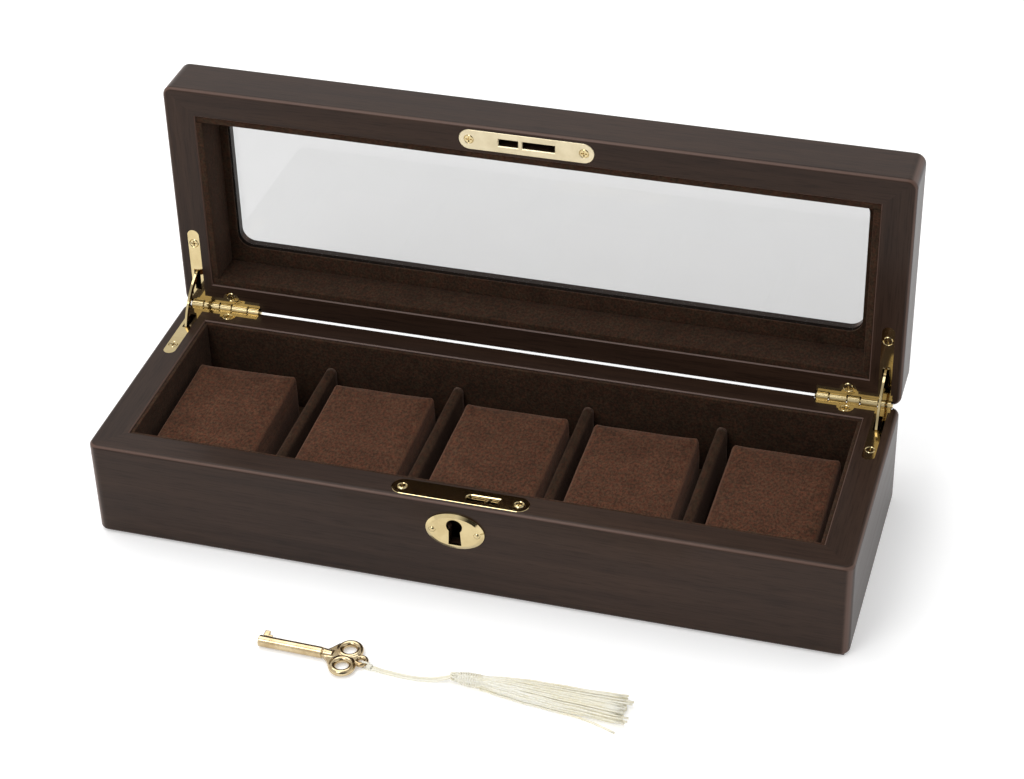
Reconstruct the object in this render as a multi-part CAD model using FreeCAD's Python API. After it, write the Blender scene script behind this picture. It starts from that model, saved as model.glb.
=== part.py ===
"""Lockable five-place watch box with a glazed lid, its key and the key's tassel.

Units are millimetres. The origin is the centre of the underside, where the box rests.
+X runs to the right along the length, +Y from the lock to the hinges, +Z up.
The lid is drawn closed first, and then turned about the hinge axis to its open rest position.
"""

import FreeCAD
import Part
import math
import os

V = FreeCAD.Vector
X_AXIS = V(1, 0, 0)
Y_AXIS = V(0, 1, 0)
Z_AXIS = V(0, 0, 1)

# ---- driving dimensions: box ----
LENGTH = 340.0
DEPTH = 116.0
RIM_Z = 48.35
WALL_FRONT = 13.5
WALL_BACK = 12.5
WALL_SIDE = 14.8
CORNER_R = 4.8
RIM_ROUND = 1.8
INNER_RIM_BEVEL = 0.5
FOOT_ROUND = 1.5
FELT_T = 1.0
FELT_INSET = 2.0
BOTTOM_T = 5.0
BOTTOM_REBATE = 5.0
MITRE_SPREAD = 1.3

# ---- lid ----
LID_GAP = 0.4
LID_RAIL_H = 19.5
LID_PANEL_T = 5.5
LID_TOP_ROUND = 2.4
WINDOW_X = 148.2
WINDOW_Y = 34.1
WINDOW_R = 6.5
GLASS_T = 2.0
GLASS_LAP = 3.5
OPEN_ANGLE = 90.5

# ---- suede lining, dividers and pillows ----
LINING_T = 1.6
LINING_BELOW_RIM = 0.75
LID_LINING_T = 3.0
LID_BORDER_T = 1.0
FLOOR_LINING_T = 1.5
DIVIDER_PITCH = 62.0
DIVIDER_T = 5.0
DIVIDER_TOP_Z = 33.0
PILLOW_W = 51.0
PILLOW_FRONT_Y = -39.5
PILLOW_BACK_Y = 28.5
PILLOW_TOP_Z = 39.0
PILLOW_ROUND = 3.0
PILLOW_CLEARANCE = 0.1
PILLOW_CENTRES = (-126.5, -60.2, 2.6, 62.8, 125.8)

# ---- lock ----
PLATE_Y = -50.9
PLATE_W = 10.0
PLATE_HALF = 30.8
PLATE_T = 1.5
PLATE_EDGE = 0.35
PLATE_SCREW_X = 26.0
BOLT_Y = -51.2
BOLT_T = 1.5
PLATE_SCREW_DOME = 0.35
FACE_SLOT = (2.8, 17.3)
FACE_SLOT_W = 3.6
STRIKE_SLOTS = ((-12.5, -3.8), (-1.7, 12.8))
STRIKE_SLOT_Y = -50.95
STRIKE_SLOT_W = 3.3
STRIKE_POCKET_X = (-12.8, 13.5)
STRIKE_POCKET_W = 3.8
STRIKE_POCKET_DEPTH = 8.0
CASE_HALF = 20.0
CASE_Y = (-54.9, -47.1)
CASE_WALL = 1.0
CASE_DROP = 27.0
HOOK_X = 1.5
HOOK_DROP = 7.0
HOOK_R_IN = 10.9
HOOK_R_OUT = 13.2
HOOK_TIP_ANGLE = 32.0
HOOK_WEB_ANGLE = -52.0
HOOK_HEEL_ANGLE = -60.0
HOOK_WEB_HALF = 1.2
HOOK_HUB_R = 2.6
HOOK_PIN_R = 1.2
PIVOT_WASHER_R = 1.9
PIVOT_WASHER_T = 0.5
PIVOT_WASHER_GAP = 0.1
KEYHOLE_X = -0.6
KEYHOLE_Z = 37.6
KEYHOLE_R = 3.6
KEYHOLE_FOOT_Z = 27.6
KEYHOLE_NECK_HALF = 2.4
KEYHOLE_FOOT_HALF = 2.9
KEY_POST_R = 1.1
KEY_POST_SETBACK = 1.6
SPRING_Y = (-50.2, -49.75)
SPRING_INSET = 0.7
SPRING_DROP = 6.5
SPRING_PLATE_GAP = 0.1
SPRING_FOOT = (4.0, 1.0)
ESCUTCHEON_Z = 34.5
ESCUTCHEON_A = 13.25
ESCUTCHEON_B = 9.35
ESCUTCHEON_T = 1.4
ESCUTCHEON_EDGE_T = 0.63
ESCUTCHEON_EDGE_DRAFT = 0.1
ESCUTCHEON_BEVEL = 1.7
ESCUTCHEON_PIN_X = 10.0
ESCUTCHEON_PIN_R = 1.7
ESCUTCHEON_PIN_SUNK = 0.45
ESCUTCHEON_PIN_ROOT = 0.3
ESCUTCHEON_SHANK = (0.7, 4.0)

# ---- quadrant hinges ----
AXIS_Y = DEPTH / 2 - 0.5
AXIS_Z = RIM_Z + LID_GAP / 2
LEAF_T = 1.2
ARM_X = 162.4
ARM_W = 5.7
ARM_REACH = 41.0
ARM_SCREW_S = 33.8
ARM_NEAR = 2.6
LEG_REACH = 5.2
LEG_SCREW_X = 146.4
LEG_SCREW_S = 6.4
LEG_EAR_R = 3.9
BARREL_START_X = 132.3
BARREL_R = 2.0
KNUCKLE_OWNERS = ("base", "lid", "base", "lid", "base")
KNUCKLE_W = {"base": 5.9, "lid": 8.1}
KNUCKLE_GAP = 0.4
KNUCKLE_EDGE = 0.25
KNUCKLE_RELIEF = 0.25
BARREL_RELIEF = 0.3
BARREL_END_RELIEF = 0.6
HINGE_PIN_R = 0.9
PIN_CAP_R = 1.5
PIN_CAP_T = 0.45
PIN_CAP_GAP = 0.05
PIN_CLEARANCE = 0.05
STAY_END_R = 17.4
STAY_MIDDLE_R = 15.0
STAY_W = 2.7
STAY_T = 1.0
STAY_TAIL = 3.4
STAY_HEAD_IN = 2.5
STAY_HEAD_R = 0.8
STAY_HEAD_W = 3.4
STAY_SLOT_W = 3.0
STAY_SLOT_S = (8.5, 19.5)
STAY_POCKET_W = 3.8
STAY_POCKET_S = (7.2, 20.3)
STAY_POCKET_DEPTH = 16.8

# ---- screws ----
SCREW_HEAD_R = 2.3
SCREW_SHANK_R = 1.1
SCREW_LENGTH = 10.0
SCREW_CONE = 1.3
SCREW_EDGE = 0.25
SCREW_POINT_L = 1.5
DOME_SHOULDER_R = 0.55
DOME_SHOULDER_Z = 0.8
CROSS_DEPTH = 0.8
CROSS_REACH = 0.62
CROSS_HALF_W = 0.28

# ---- key, cord and tassel, lying on the floor in front of the lock ----
KEY_TIP = (-72.0, -111.9)
KEY_TURN = -1.2
KEY_BARREL_R = 2.5
KEY_BARREL_L = 28.6
KEY_BORE_R = 1.4
KEY_BORE_L = 14.0
KEY_GROOVE_L = 0.6
KEY_GROOVE_R = 1.9
KEY_NECK_L = 4.0
KEY_NECK_R = (2.3, 1.8)
KEY_BIT_X = (0.6, 4.8)
KEY_BIT_STEP_X = 3.0
KEY_BIT_R = (1.5, 3.6, 5.8)
KEY_BIT_HALF_T = 0.8
KEY_BIT_TURN = 4.0
KEY_RING_X = 39.1
KEY_RING_Y = 5.05
KEY_RING_R = 4.3
KEY_RING_TUBE = 1.5
KEY_WEB_HALF_T = 1.1
KEY_WEB_OUTLINE = (
    (29.6, 2.0),
    (31.4, 3.7),
    (33.8, 7.2),
    (39.1, 5.0),
    (44.2, 2.4),
)
KEY_LOBE_X = 45.8
KEY_LOBE_R = 2.2
KEY_LOBE_TUBE = 1.1
KEY_BOW_Z = 2.0
CORD_D = 1.2
KNOT_X = (-23.0, -20.6)
KNOT_R = 1.5
KNOT_YZ = (-114.9, 1.55)
CORD_ROUTE_BACK = (
    (-20.6, -114.28, 1.30),
    (-17.1, -114.55, 0.72),
    (-12.2, -114.95, 0.62),
    (-6.1, -115.30, 0.61),
    (-0.2, -115.25, 0.61),
    (5.3, -114.45, 0.72),
    (9.6, -113.30, 1.45),
    (13.0, -112.48, 2.30),
)
CORD_ROUTE_FRONT = (
    (-20.6, -115.52, 1.30),
    (-16.6, -115.86, 0.72),
    (-11.0, -116.30, 0.62),
    (-4.8, -116.65, 0.61),
    (0.9, -116.52, 0.61),
    (6.1, -115.68, 0.72),
    (10.0, -114.55, 1.45),
    (13.0, -113.72, 2.30),
)
TASSEL_START = (13.0, -113.1, 3.0)
TASSEL_TURN = -0.5
TASSEL_PROFILE = (
    (0.0, 1.6),
    (2.0, 1.6),
    (5.0, 2.6),
    (8.0, 3.0),
    (12.5, 3.0),
    (14.5, 2.75),
)
SKIRT_SECTIONS = (
    (14.5, 2.7, 2.7),
    (24.0, 4.6, 2.6),
    (34.0, 6.2, 2.4),
    (52.0, 7.8, 2.2),
    (75.0, 9.6, 2.0),
)
SKIRT_LIFT = 0.1

# ---- worked out ----
INNER_X = LENGTH / 2 - WALL_SIDE
INNER_FRONT = -DEPTH / 2 + WALL_FRONT
INNER_BACK = DEPTH / 2 - WALL_BACK
FLOOR_Z = FELT_T + BOTTOM_T
TRAY_Z = FLOOR_Z + FLOOR_LINING_T
LID_RIM_Z = RIM_Z + LID_GAP
LID_PANEL_Z = LID_RIM_Z + LID_RAIL_H
LID_TOP_Z = LID_PANEL_Z + LID_PANEL_T
HOOK_Z = RIM_Z - HOOK_DROP
BARREL_X = (BARREL_START_X, BARREL_START_X + sum(KNUCKLE_W[owner] for owner in KNUCKLE_OWNERS))


def box(x0, x1, y0, y1, z0, z1):
    """Block between two corners."""
    return Part.makeBox(x1 - x0, y1 - y0, z1 - z0, V(x0, y0, z0))


def rod(radius, start, direction, length):
    """Cylinder from a point along a direction."""
    return Part.makeCylinder(radius, length, start, direction)


def prism(points, z0, z1):
    """Upright prism on a polygon of (x, y) points."""
    corners = [V(x, y, z0) for x, y in points]
    face = Part.Face(Part.makePolygon(corners + corners[:1]))
    return face.extrude(V(0, 0, z1 - z0))


def stadium(x0, x1, y_mid, width, z0, z1):
    """Plate along X with two full-round ends."""
    half = width / 2
    body = box(x0 + half, x1 - half, y_mid - half, y_mid + half, z0, z1)
    for x in (x0 + half, x1 - half):
        body = body.fuse(rod(half, V(x, y_mid, z0), Z_AXIS, z1 - z0))
    return body.removeSplitter()


def edges_where(shape, test):
    """Edges whose two ends both pass the test."""
    return [e for e in shape.Edges if all(test(v.Point) for v in e.Vertexes)]


def break_edges(plate, z, size):
    """Narrow bevel on every edge of a plate's face at z."""
    return plate.makeChamfer(size, edges_where(plate, lambda p: abs(p.z - z) < 1e-6))


def bevel_inner_rim(walls, z):
    """Narrow bevel on the inner edge of a rim at z."""

    def inside(p):
        return abs(p.z - z) < 1e-6 and abs(p.x) < INNER_X + 1 and INNER_FRONT - 1 < p.y < INNER_BACK + 1

    return walls.makeChamfer(INNER_RIM_BEVEL, edges_where(walls, inside))


def is_upright(edge):
    """True for a straight edge along Z."""
    ends = [v.Point for v in edge.Vertexes]
    if len(ends) != 2:
        return False
    run = ends[0] - ends[1]
    return abs(run.z) > 0.1 and run.cross(Z_AXIS).Length < 1e-6


def rounded_block(x_half, y_half, z0, z1, upright_r, bottom_r, top_r):
    """Block with rounded upright edges, and rounded edges round its bottom and top faces."""
    block = box(-x_half, x_half, -y_half, y_half, z0, z1)
    block = block.makeFillet(upright_r, [e for e in block.Edges if is_upright(e)])
    if bottom_r:
        block = block.makeFillet(bottom_r, edges_where(block, lambda p: abs(p.z - z0) < 1e-6))
    if top_r:
        block = block.makeFillet(top_r, edges_where(block, lambda p: abs(p.z - z1) < 1e-6))
    return block


def mitre_wedges(z0, z1):
    """Four upright prisms that divide the ring of walls along its corner mitres."""
    inner = {}
    outer = {}
    for corner, x, y in (
        ("front_left", -INNER_X, INNER_FRONT),
        ("front_right", INNER_X, INNER_FRONT),
        ("back_right", INNER_X, INNER_BACK),
        ("back_left", -INNER_X, INNER_BACK),
    ):
        out_x = math.copysign(LENGTH / 2, x)
        out_y = math.copysign(DEPTH / 2, y)
        inner[corner] = (x, y)
        outer[corner] = (x + (out_x - x) * MITRE_SPREAD, y + (out_y - y) * MITRE_SPREAD)
    sides = {
        "front": ("front_left", "front_right"),
        "right": ("front_right", "back_right"),
        "back": ("back_right", "back_left"),
        "left": ("back_left", "front_left"),
    }
    wedges = {}
    for side, (first, second) in sides.items():
        wedges[side] = prism([inner[first], outer[first], outer[second], inner[second]], z0, z1)
    return wedges


def cut_all(shape, tools):
    """Shape with every tool taken away."""
    for tool in tools:
        shape = shape.cut(tool)
    return shape


def open_lid(shape):
    """Turn a lid piece from closed to its open rest position."""
    turned = shape.copy()
    turned.rotate(V(0, AXIS_Y, AXIS_Z), X_AXIS, -OPEN_ANGLE)
    return turned


def mirror_x(shape):
    """The same piece on the other side of the box."""
    return shape.mirror(V(0, 0, 0), X_AXIS)


# ---- screws ----
def screw(x, y, z, up, dome=0.0):
    """Countersunk cross-head screw, its head's face at z and its point away from up. Also its blank."""
    crown = [V(0, 0, dome)]
    if dome > 0:
        crown.append(V(SCREW_HEAD_R * DOME_SHOULDER_R, 0, dome * DOME_SHOULDER_Z))
    narrowing = (SCREW_HEAD_R - SCREW_SHANK_R) / SCREW_CONE
    broken = [
        V(SCREW_HEAD_R - 2 * SCREW_EDGE, 0, 0),
        V(SCREW_HEAD_R - SCREW_EDGE * narrowing, 0, -SCREW_EDGE),
    ]
    shank = [
        V(SCREW_SHANK_R, 0, -SCREW_CONE),
        V(SCREW_SHANK_R, 0, SCREW_POINT_L - SCREW_LENGTH),
        V(0, 0, -SCREW_LENGTH),
    ]
    top = dome + 0.1
    seat = [V(0, 0, top), V(SCREW_HEAD_R, 0, top), V(SCREW_HEAD_R, 0, 0)]
    body, blank = [
        Part.Face(Part.makePolygon(outline + outline[:1])).revolve(V(0, 0, 0), Z_AXIS, 360)
        for outline in (crown + broken + shank, seat + shank)
    ]
    arm = SCREW_HEAD_R * CROSS_REACH
    slot = CROSS_HALF_W
    cross = box(-arm, arm, -slot, slot, -CROSS_DEPTH, top)
    cross = cross.fuse(box(-slot, slot, -arm, arm, -CROSS_DEPTH, top))
    body = body.cut(cross)
    for piece in (body, blank):
        if up < 0:
            piece.rotate(V(0, 0, 0), X_AXIS, 180)
        piece.translate(V(x, y, z))
    return body, blank


def screw_set(places):
    """Finished screws, and their blanks for cutting the seats."""
    pairs = [screw(*place) for place in places]
    return Part.makeCompound([p[0] for p in pairs]), [p[1] for p in pairs]


# ---- lock cutters ----
def keyhole(y0, y1):
    """Keyhole: a round head over a foot that flares downwards, cut along Y."""
    head_hole = rod(KEYHOLE_R, V(KEYHOLE_X, y0, KEYHOLE_Z), Y_AXIS, y1 - y0)
    corners = [
        V(KEYHOLE_X - KEYHOLE_NECK_HALF, y0, KEYHOLE_Z),
        V(KEYHOLE_X + KEYHOLE_NECK_HALF, y0, KEYHOLE_Z),
        V(KEYHOLE_X + KEYHOLE_FOOT_HALF, y0, KEYHOLE_FOOT_Z),
        V(KEYHOLE_X - KEYHOLE_FOOT_HALF, y0, KEYHOLE_FOOT_Z),
    ]
    foot = Part.Face(Part.makePolygon(corners + corners[:1])).extrude(V(0, y1 - y0, 0))
    return head_hole.fuse(foot).removeSplitter()


def sector(r_in, r_out, start, end, y0, y1, x, z):
    """Ring sector in the XZ plane: angles in degrees from +X towards +Z."""

    def at(radius, angle):
        turn = math.radians(angle)
        return V(x + radius * math.cos(turn), y0, z + radius * math.sin(turn))

    middle = (start + end) / 2
    outer = Part.Arc(at(r_out, start), at(r_out, middle), at(r_out, end)).toShape()
    inner = Part.Arc(at(r_in, end), at(r_in, middle), at(r_in, start)).toShape()
    side_a = Part.makeLine(at(r_out, end), at(r_in, end))
    side_b = Part.makeLine(at(r_in, start), at(r_out, start))
    face = Part.Face(Part.Wire([outer, side_a, inner, side_b]))
    return face.extrude(V(0, y1 - y0, 0))


# ---- quadrant hinge, drawn for the right side of the box ----
def stay_arc():
    """Radius of the stay's middle line, how far its centre lies behind the hinge axis, and its half angle.

    The strip is flatter than a circle about the hinge axis: its ends stand further out than its middle.
    """
    half_open = math.radians(OPEN_ANGLE / 2)
    reach = STAY_END_R * math.cos(half_open)
    setback = (STAY_END_R**2 - STAY_MIDDLE_R**2) / (2 * (STAY_MIDDLE_R - reach))
    radius = STAY_MIDDLE_R + setback
    return radius, setback, math.asin(STAY_END_R * math.sin(half_open) / radius)


def on_stay(radius, angle, x):
    """Point at a radius about the stay's own centre, and an angle from its middle towards the lid."""
    setback = stay_arc()[1]
    along = radius * math.cos(angle) - setback
    across = radius * math.sin(angle)
    middle = math.radians(OPEN_ANGLE / 2)
    y = AXIS_Y - along * math.cos(middle) + across * math.sin(middle)
    z = AXIS_Z + along * math.sin(middle) + across * math.cos(middle)
    return V(x, y, z)


def leaf_blank(z0, z1):
    """Flat L of a hinge leaf: an arm with a round end, a leg along the barrel and its screw ear."""
    half = ARM_W / 2
    arm_end = AXIS_Y - ARM_REACH + half
    arm = box(ARM_X - half, ARM_X + half, arm_end, AXIS_Y - ARM_NEAR, z0, z1)
    arm = arm.fuse(rod(half, V(ARM_X, arm_end, z0), Z_AXIS, z1 - z0))
    leg = box(BARREL_X[0], BARREL_X[1], AXIS_Y - LEG_REACH, AXIS_Y, z0, z1)
    ear = rod(LEG_EAR_R, V(LEG_SCREW_X, AXIS_Y - LEG_REACH, z0), Z_AXIS, z1 - z0)
    ear = ear.common(box(0, LENGTH, 0, AXIS_Y - 1, z0, z1))
    return arm.fuse(leg).fuse(ear).removeSplitter()


def knuckle_spans(owner):
    """X spans of the barrel knuckles: the base leaf has the first, third and fifth."""
    spans = []
    x = BARREL_X[0]
    for belongs_to in KNUCKLE_OWNERS:
        width = KNUCKLE_W[belongs_to]
        if belongs_to == owner:
            spans.append((x + KNUCKLE_GAP / 2, x + width - KNUCKLE_GAP / 2))
        x += width
    return spans


def knuckle(x0, x1):
    """One knuckle of the barrel, with its end edges broken."""
    body = rod(BARREL_R, V(x0, AXIS_Y, AXIS_Z), X_AXIS, x1 - x0)
    return body.makeChamfer(KNUCKLE_EDGE, [e for e in body.Edges if isinstance(e.Curve, Part.Circle)])


def hinge_leaf(owner, z0, z1, screws):
    """Hinge leaf with its knuckles, clear of the other leaf's knuckles and of the stay."""
    leaf = leaf_blank(z0, z1)
    other = "lid" if owner == "base" else "base"
    for x0, x1 in knuckle_spans(other):
        reach = (x1 - x0) + 2 * KNUCKLE_GAP
        start = V(x0 - KNUCKLE_GAP, AXIS_Y, AXIS_Z)
        leaf = leaf.cut(rod(BARREL_R + KNUCKLE_RELIEF, start, X_AXIS, reach))
    for x0, x1 in knuckle_spans(owner):
        leaf = leaf.fuse(knuckle(x0, x1))
    bore_start = V(BARREL_X[0] - 1, AXIS_Y, AXIS_Z)
    bore_l = BARREL_X[1] - BARREL_X[0] + 2
    bore = rod(HINGE_PIN_R + PIN_CLEARANCE, bore_start, X_AXIS, bore_l)
    s0, s1 = STAY_SLOT_S
    half = STAY_SLOT_W / 2
    stay_slot = box(ARM_X - half, ARM_X + half, AXIS_Y - s1, AXIS_Y - s0, z0 - 1, z1 + 1)
    return cut_all(leaf, [bore, stay_slot] + screws).removeSplitter()


def hinge_recess(z0, z1):
    """Everything that the wood gives up to one hinge leaf, its barrel and the stay's pocket."""
    groove_start = V(BARREL_X[0] - BARREL_END_RELIEF, AXIS_Y, AXIS_Z)
    groove_l = BARREL_X[1] - BARREL_X[0] + 2 * BARREL_END_RELIEF
    groove = rod(BARREL_R + BARREL_RELIEF, groove_start, X_AXIS, groove_l)
    half = STAY_POCKET_W / 2
    s0, s1 = STAY_POCKET_S
    if z0 < RIM_Z:
        bottom, top = RIM_Z - STAY_POCKET_DEPTH, z1
    else:
        bottom, top = z0, LID_RIM_Z + STAY_POCKET_DEPTH
    pocket = box(ARM_X - half, ARM_X + half, AXIS_Y - s1, AXIS_Y - s0, bottom, top)
    return [leaf_blank(z0, z1), groove, pocket]


def hinge_pin():
    """Hinge pin with a low domed head at each end of the barrel."""
    x0 = BARREL_X[0] - PIN_CAP_GAP
    x1 = BARREL_X[1] + PIN_CAP_GAP
    pin = rod(HINGE_PIN_R, V(x0, AXIS_Y, AXIS_Z), X_AXIS, x1 - x0)
    for x, way in ((x0, -1), (x1, 1)):
        cap = Part.makeCone(PIN_CAP_R, HINGE_PIN_R, PIN_CAP_T, V(x, AXIS_Y, AXIS_Z), V(way, 0, 0))
        pin = pin.fuse(cap)
    return pin


def hinge_stay():
    """Curved stay strip with a cross head at each end that can't leave the leaf slots."""
    radius, _, half_angle = stay_arc()
    end = half_angle + STAY_TAIL / radius
    x = ARM_X - STAY_T / 2
    corners = []
    for r, angles in ((radius + STAY_W / 2, (-end, 0, end)), (radius - STAY_W / 2, (end, 0, -end))):
        corners.append([on_stay(r, angle, x) for angle in angles])
    outer, inner = corners
    edges = [
        Part.Arc(*outer).toShape(),
        Part.makeLine(outer[2], inner[0]),
        Part.Arc(*inner).toShape(),
        Part.makeLine(inner[2], outer[0]),
    ]
    strip = Part.Face(Part.Wire(edges)).extrude(V(STAY_T, 0, 0))
    head_angle = half_angle + STAY_HEAD_IN / radius
    for angle in (-head_angle, head_angle):
        start = on_stay(radius, angle, ARM_X - STAY_HEAD_W / 2)
        strip = strip.fuse(rod(STAY_HEAD_R, start, X_AXIS, STAY_HEAD_W))
    return strip.removeSplitter()


# ---- base ----
def base_walls(cutters):
    """Four mitred walls with the bottom rebate and the seats for the metalwork."""
    block = rounded_block(LENGTH / 2, DEPTH / 2, FELT_T, RIM_Z, CORNER_R, FOOT_ROUND, RIM_ROUND)
    block = block.cut(box(-INNER_X, INNER_X, INNER_FRONT, INNER_BACK, 0, RIM_Z + 1))
    block = cut_all(bevel_inner_rim(block, RIM_Z), [bottom_blank(0)] + cutters)
    wedges = mitre_wedges(0, RIM_Z + 1)
    return {"base_" + side: block.common(wedge) for side, wedge in wedges.items()}


def bottom_blank(z0):
    """The bottom board's outline, up to the tray's floor."""
    rebate = BOTTOM_REBATE
    x_half = INNER_X + rebate
    return box(-x_half, x_half, INNER_FRONT - rebate, INNER_BACK + rebate, z0, FLOOR_Z)


def base_floor():
    """Bottom board in its rebate, and the felt sheet under the box."""
    felt_x = LENGTH / 2 - FELT_INSET
    felt_y = DEPTH / 2 - FELT_INSET
    felt = rounded_block(felt_x, felt_y, 0, FELT_T, CORNER_R - FELT_INSET, 0, 0)
    return {"bottom_board": bottom_blank(FELT_T), "underside_felt": felt}


def base_lining():
    """Suede-covered boards on the tray's floor and walls."""
    top = RIM_Z - LINING_BELOW_RIM
    t = LINING_T
    return {
        "lining_floor": box(-INNER_X, INNER_X, INNER_FRONT, INNER_BACK, FLOOR_Z, TRAY_Z),
        "lining_front": box(-INNER_X, INNER_X, INNER_FRONT, INNER_FRONT + t, TRAY_Z, top),
        "lining_back": box(-INNER_X, INNER_X, INNER_BACK - t, INNER_BACK, TRAY_Z, top),
        "lining_left": box(-INNER_X, -INNER_X + t, INNER_FRONT + t, INNER_BACK - t, TRAY_Z, top),
        "lining_right": box(INNER_X - t, INNER_X, INNER_FRONT + t, INNER_BACK - t, TRAY_Z, top),
    }


def dividers():
    """Four round-topped dividers between the five places."""
    nodes = {}
    radius = DIVIDER_T / 2
    y0 = INNER_FRONT + LINING_T
    y1 = INNER_BACK - LINING_T
    for i in range(4):
        x = (i - 1.5) * DIVIDER_PITCH
        wall = box(x - radius, x + radius, y0, y1, TRAY_Z, DIVIDER_TOP_Z - radius)
        ridge = rod(radius, V(x, y0, DIVIDER_TOP_Z - radius), Y_AXIS, y1 - y0)
        nodes[f"divider_{i + 1}"] = wall.fuse(ridge).removeSplitter()
    return nodes


def pillows():
    """Five watch pillows standing loose in their places."""
    nodes = {}
    half = PILLOW_W / 2
    z0 = TRAY_Z + PILLOW_CLEARANCE
    for i, x in enumerate(PILLOW_CENTRES):
        pad = box(x - half, x + half, PILLOW_FRONT_Y, PILLOW_BACK_Y, z0, PILLOW_TOP_Z)
        nodes[f"pillow_{i + 1}"] = pad.makeFillet(PILLOW_ROUND, pad.Edges)
    return nodes


# ---- lid ----
def lid_wood(cutters):
    """Four mitred rails and the top panel with its window, all closed."""
    x_half = LENGTH / 2
    y_half = DEPTH / 2
    block = rounded_block(x_half, y_half, LID_RIM_Z, LID_TOP_Z, CORNER_R, RIM_ROUND, LID_TOP_ROUND)
    rails = block.common(box(-LENGTH, LENGTH, -DEPTH, DEPTH, LID_RIM_Z - 1, LID_PANEL_Z))
    rails = rails.cut(box(-INNER_X, INNER_X, INNER_FRONT, INNER_BACK, LID_RIM_Z - 1, LID_TOP_Z))
    rails = cut_all(bevel_inner_rim(rails, LID_RIM_Z), cutters)
    wedges = mitre_wedges(LID_RIM_Z - 1, LID_PANEL_Z)
    nodes = {"lid_" + side: rails.common(wedge) for side, wedge in wedges.items()}
    panel = block.common(box(-LENGTH, LENGTH, -DEPTH, DEPTH, LID_PANEL_Z, LID_TOP_Z + 1))
    panel = panel.cut(window(LID_PANEL_Z - 1, LID_TOP_Z + 1))
    nodes["lid_top_panel"] = panel.cut(glass_blank())
    return nodes


def window(z0, z1):
    """Window opening with rounded corners."""
    return rounded_block(WINDOW_X, WINDOW_Y, z0, z1, WINDOW_R, 0, 0)


def glass_blank():
    """Glass pane, flush with the underside of the top panel."""
    x_half = WINDOW_X + GLASS_LAP
    y_half = WINDOW_Y + GLASS_LAP
    return box(-x_half, x_half, -y_half, y_half, LID_PANEL_Z, LID_PANEL_Z + GLASS_T)


def lid_lining():
    """Suede-covered boards on the rails, and the border that holds the glass."""
    t = LID_LINING_T
    z0 = LID_RIM_Z + LINING_BELOW_RIM
    z1 = LID_PANEL_Z - LID_BORDER_T
    border = box(-INNER_X, INNER_X, INNER_FRONT, INNER_BACK, z1, LID_PANEL_Z)
    return {
        "lid_lining_front": box(-INNER_X, INNER_X, INNER_FRONT, INNER_FRONT + t, z0, z1),
        "lid_lining_back": box(-INNER_X, INNER_X, INNER_BACK - t, INNER_BACK, z0, z1),
        "lid_lining_left": box(-INNER_X, -INNER_X + t, INNER_FRONT + t, INNER_BACK - t, z0, z1),
        "lid_lining_right": box(INNER_X - t, INNER_X, INNER_FRONT + t, INNER_BACK - t, z0, z1),
        "lid_window_border": border.cut(window(z1 - 1, LID_PANEL_Z + 1)),
    }


# ---- lock ----
def lock_face_plate(screw_blanks):
    """Face plate, with a slot for the hook that has one round end and one square end."""
    z0 = RIM_Z - PLATE_T
    half = FACE_SLOT_W / 2
    plate = stadium(-PLATE_HALF, PLATE_HALF, PLATE_Y, PLATE_W, z0, RIM_Z)
    slot = stadium(FACE_SLOT[0], FACE_SLOT[1] + half, BOLT_Y, FACE_SLOT_W, z0 - 1, RIM_Z + 1)
    slot = slot.common(box(0, FACE_SLOT[1], BOLT_Y - half, BOLT_Y + half, z0 - 1, RIM_Z + 1))
    return cut_all(break_edges(plate.cut(slot), RIM_Z, PLATE_EDGE), screw_blanks)


def lock_case():
    """Open-topped case behind the keyhole."""
    y0, y1 = CASE_Y
    z0 = RIM_Z - CASE_DROP
    z1 = RIM_Z - PLATE_T
    t = CASE_WALL
    case = box(-CASE_HALF, CASE_HALF, y0, y1, z0, z1)
    case = case.cut(box(-CASE_HALF + t, CASE_HALF - t, y0 + t, y1 - t, z0 + t, z1 + 1))
    return case.cut(keyhole(y0 - 1, y0 + t + 0.5))


def lock_hook():
    """Curved hook bolt on its hub, drawn unlocked."""
    y0 = BOLT_Y - BOLT_T / 2
    y1 = BOLT_Y + BOLT_T / 2
    claw = sector(HOOK_R_IN, HOOK_R_OUT, HOOK_HEEL_ANGLE, HOOK_TIP_ANGLE, y0, y1, HOOK_X, HOOK_Z)
    hub = rod(HOOK_HUB_R, V(HOOK_X, y0, HOOK_Z), Y_AXIS, BOLT_T)
    web = box(0, HOOK_R_OUT - 1, y0, y1, -HOOK_WEB_HALF, HOOK_WEB_HALF)
    web.rotate(V(0, 0, 0), Y_AXIS, -HOOK_WEB_ANGLE)
    web.translate(V(HOOK_X, 0, HOOK_Z))
    bore = rod(HOOK_PIN_R + PIN_CLEARANCE, V(HOOK_X, y0 - 1, HOOK_Z), Y_AXIS, BOLT_T + 2)
    return claw.fuse(hub).fuse(web).removeSplitter().cut(bore)


def lock_hook_pin():
    """Pivot pin across the case, with a washer on each side of the hook."""
    y0 = CASE_Y[0] + CASE_WALL
    y1 = CASE_Y[1] - CASE_WALL
    pin = rod(HOOK_PIN_R, V(HOOK_X, y0, HOOK_Z), Y_AXIS, y1 - y0)
    reach = BOLT_T / 2 + PIVOT_WASHER_GAP
    for y in (BOLT_Y - reach - PIVOT_WASHER_T, BOLT_Y + reach):
        pin = pin.fuse(rod(PIVOT_WASHER_R, V(HOOK_X, y, HOOK_Z), Y_AXIS, PIVOT_WASHER_T))
    return pin


def lock_key_post():
    """Fixed post that the key's hollow barrel slides over."""
    y0 = CASE_Y[0] + KEY_POST_SETBACK
    y1 = CASE_Y[1] - CASE_WALL
    return rod(KEY_POST_R, V(KEYHOLE_X, y0, KEYHOLE_Z), Y_AXIS, y1 - y0)


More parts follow.
